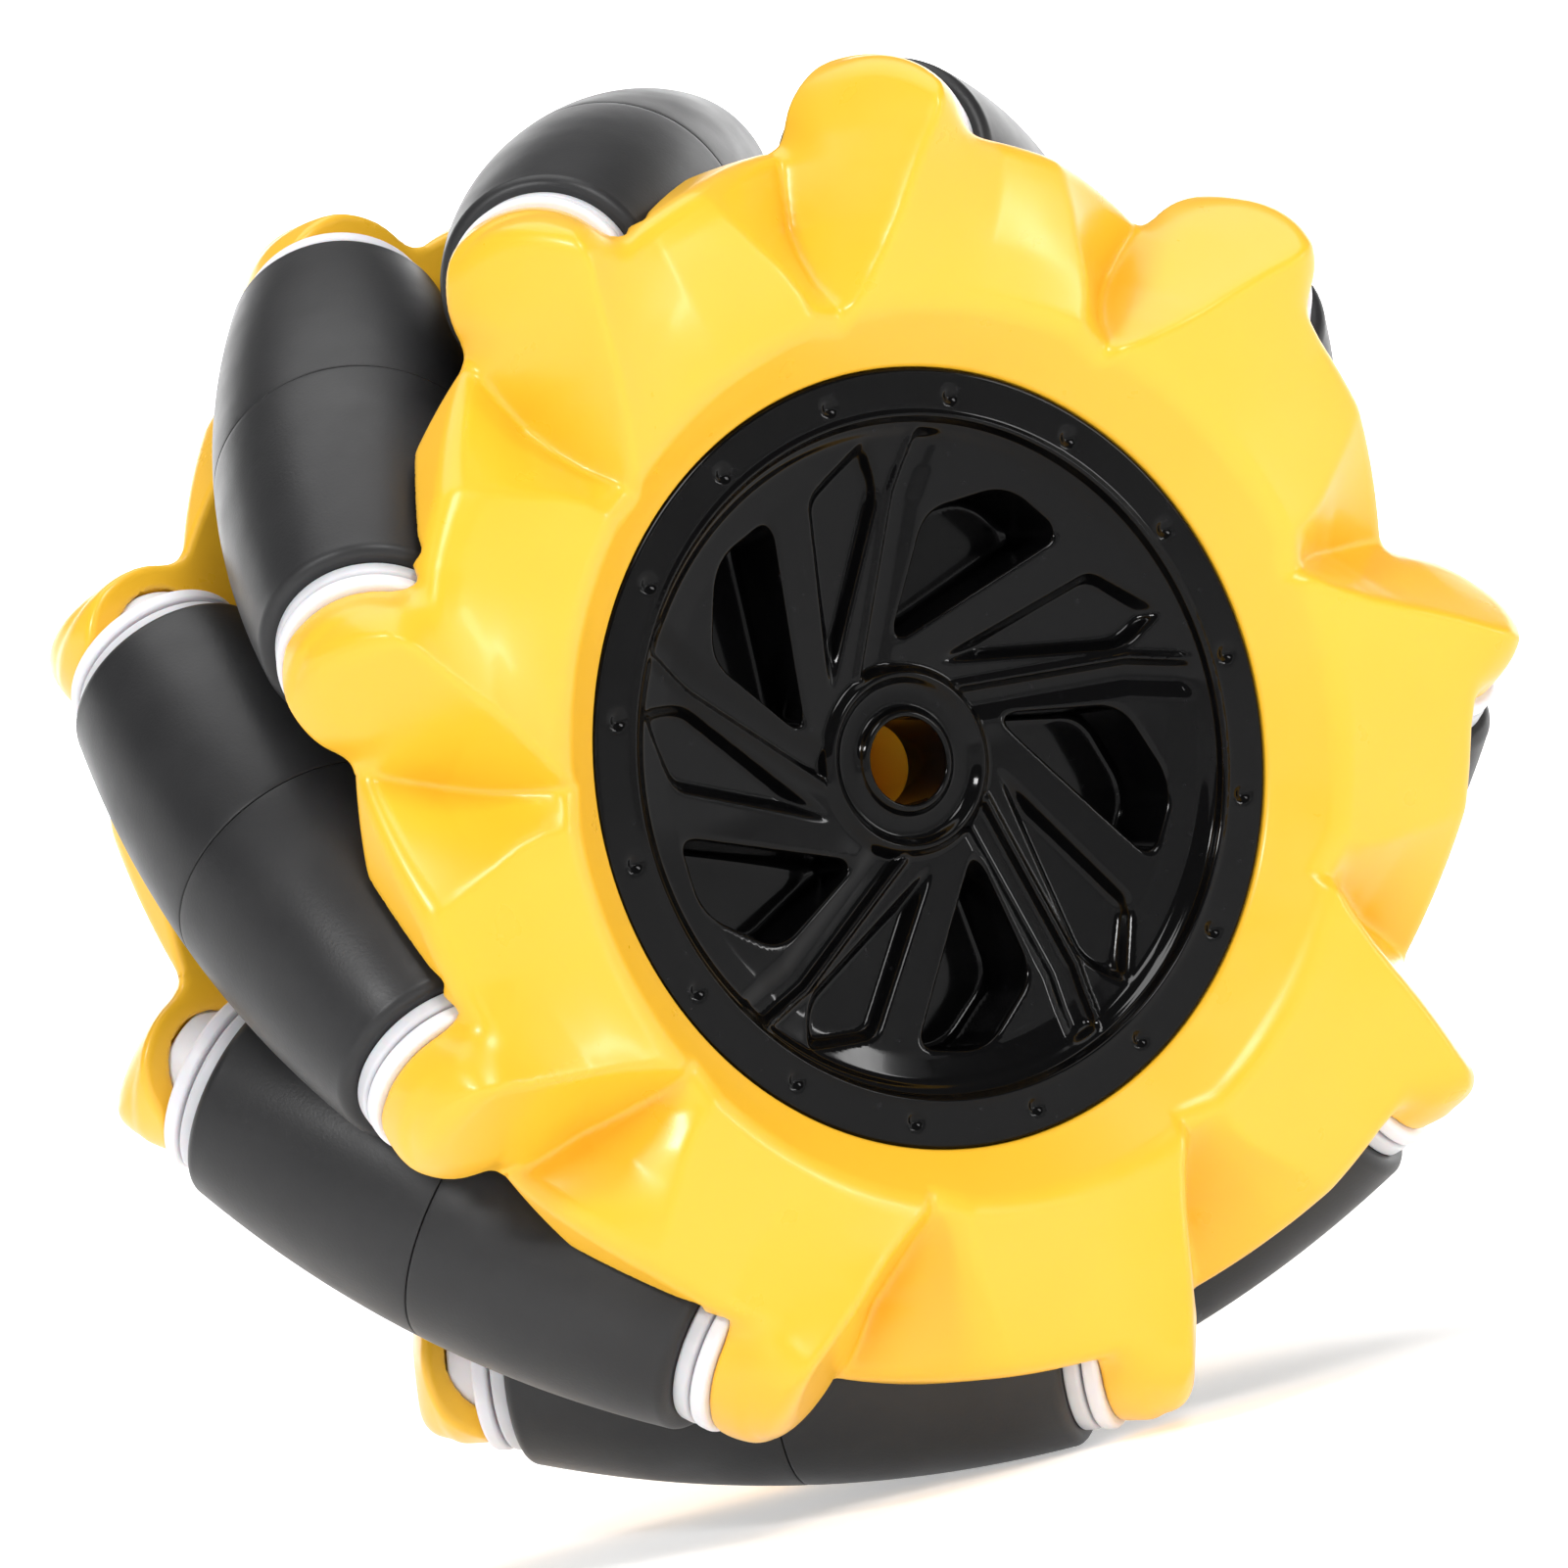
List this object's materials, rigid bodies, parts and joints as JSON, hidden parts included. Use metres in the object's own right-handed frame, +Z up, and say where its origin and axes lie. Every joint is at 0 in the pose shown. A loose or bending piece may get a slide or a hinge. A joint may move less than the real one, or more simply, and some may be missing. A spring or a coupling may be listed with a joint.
{
  "type": "mecanum wheel",
  "caption": "Mecanum wheel: two lobed plates carry free barrel rollers at 45 degrees round a dished hub cap, with a hexagonal drive socket at the back.",
  "frame": {"origin": "the wheel's centre: on the wheel's axis, at the rollers' mid-length plane", "axes": "+Y along the wheel's axis from the capped front face (-Y) to the drive side (+Y), +Z up, +X to the right seen from the front"},
  "size_m": [0.097, 0.0488, 0.097],
  "materials": {
    "plate_yellow": "satin moulded yellow plastic",
    "cap_black": "polished black plastic",
    "sleeve_rubber": "matte dark grey moulded rubber",
    "core_white": "satin off-white nylon",
    "bush_white": "satin white nylon",
    "axle_steel": "ground steel",
    "screw_steel": "zinc plated steel"
  },
  "bodies": {
    "root": {"front_plate": "plate_yellow", "rear_plate": "plate_yellow", "hub_cap": "cap_black", "plate_screws": "screw_steel", "roller_axle_1": "axle_steel", "roller_axle_2": "axle_steel", "roller_axle_3": "axle_steel", "roller_axle_4": "axle_steel", "roller_axle_5": "axle_steel", "roller_axle_6": "axle_steel", "roller_axle_7": "axle_steel", "roller_axle_8": "axle_steel", "roller_axle_9": "axle_steel", "front_bush_1": "bush_white", "front_bush_2": "bush_white", "front_bush_3": "bush_white", "front_bush_4": "bush_white", "front_bush_5": "bush_white", "front_bush_6": "bush_white", "front_bush_7": "bush_white", "front_bush_8": "bush_white", "front_bush_9": "bush_white", "rear_bush_1": "bush_white", "rear_bush_2": "bush_white", "rear_bush_3": "bush_white", "rear_bush_4": "bush_white", "rear_bush_5": "bush_white", "rear_bush_6": "bush_white", "rear_bush_7": "bush_white", "rear_bush_8": "bush_white", "rear_bush_9": "bush_white"},
    "roller_1": {"roller_core_1": "core_white", "front_sleeve_1": "sleeve_rubber", "rear_sleeve_1": "sleeve_rubber"},
    "roller_2": {"roller_core_2": "core_white", "front_sleeve_2": "sleeve_rubber", "rear_sleeve_2": "sleeve_rubber"},
    "roller_3": {"roller_core_3": "core_white", "front_sleeve_3": "sleeve_rubber", "rear_sleeve_3": "sleeve_rubber"},
    "roller_4": {"roller_core_4": "core_white", "front_sleeve_4": "sleeve_rubber", "rear_sleeve_4": "sleeve_rubber"},
    "roller_5": {"roller_core_5": "core_white", "front_sleeve_5": "sleeve_rubber", "rear_sleeve_5": "sleeve_rubber"},
    "roller_6": {"roller_core_6": "core_white", "front_sleeve_6": "sleeve_rubber", "rear_sleeve_6": "sleeve_rubber"},
    "roller_7": {"roller_core_7": "core_white", "front_sleeve_7": "sleeve_rubber", "rear_sleeve_7": "sleeve_rubber"},
    "roller_8": {"roller_core_8": "core_white", "front_sleeve_8": "sleeve_rubber", "rear_sleeve_8": "sleeve_rubber"},
    "roller_9": {"roller_core_9": "core_white", "front_sleeve_9": "sleeve_rubber", "rear_sleeve_9": "sleeve_rubber"}
  },
  "joints": [
    {"name": "roller_spin_1", "type": "hinge", "parent": "root", "child": "roller_1", "pos_m": [0.03728, 0, 0.01104], "axis": [0.2008, 0.7071, -0.678], "continuous": true},
    {"name": "roller_spin_2", "type": "hinge", "parent": "root", "child": "roller_2", "pos_m": [0.02146, 0, 0.03242], "axis": [0.5896, 0.7071, -0.3903], "continuous": true},
    {"name": "roller_spin_3", "type": "hinge", "parent": "root", "child": "roller_3", "pos_m": [-0.0044, 0, 0.03863], "axis": [0.7026, 0.7071, 0.08], "continuous": true},
    {"name": "roller_spin_4", "type": "hinge", "parent": "root", "child": "roller_4", "pos_m": [-0.0282, 0, 0.02676], "axis": [0.4867, 0.7071, 0.5129], "continuous": true},
    {"name": "roller_spin_5", "type": "hinge", "parent": "root", "child": "roller_5", "pos_m": [-0.03881, 0, 0.00237], "axis": [0.0432, 0.7071, 0.7058], "continuous": true},
    {"name": "roller_spin_6", "type": "hinge", "parent": "root", "child": "roller_6", "pos_m": [-0.03125, 0, -0.02313], "axis": [-0.4206, 0.7071, 0.5684], "continuous": true},
    {"name": "roller_spin_7", "type": "hinge", "parent": "root", "child": "roller_7", "pos_m": [-0.00908, 0, -0.03781], "axis": [-0.6876, 0.7071, 0.1651], "continuous": true},
    {"name": "roller_spin_8", "type": "hinge", "parent": "root", "child": "roller_8", "pos_m": [0.01735, 0, -0.03479], "axis": [-0.6328, 0.7071, -0.3155], "continuous": true},
    {"name": "roller_spin_9", "type": "hinge", "parent": "root", "child": "roller_9", "pos_m": [0.03565, 0, -0.0155], "axis": [-0.282, 0.7071, -0.6485], "continuous": true}
  ]
}
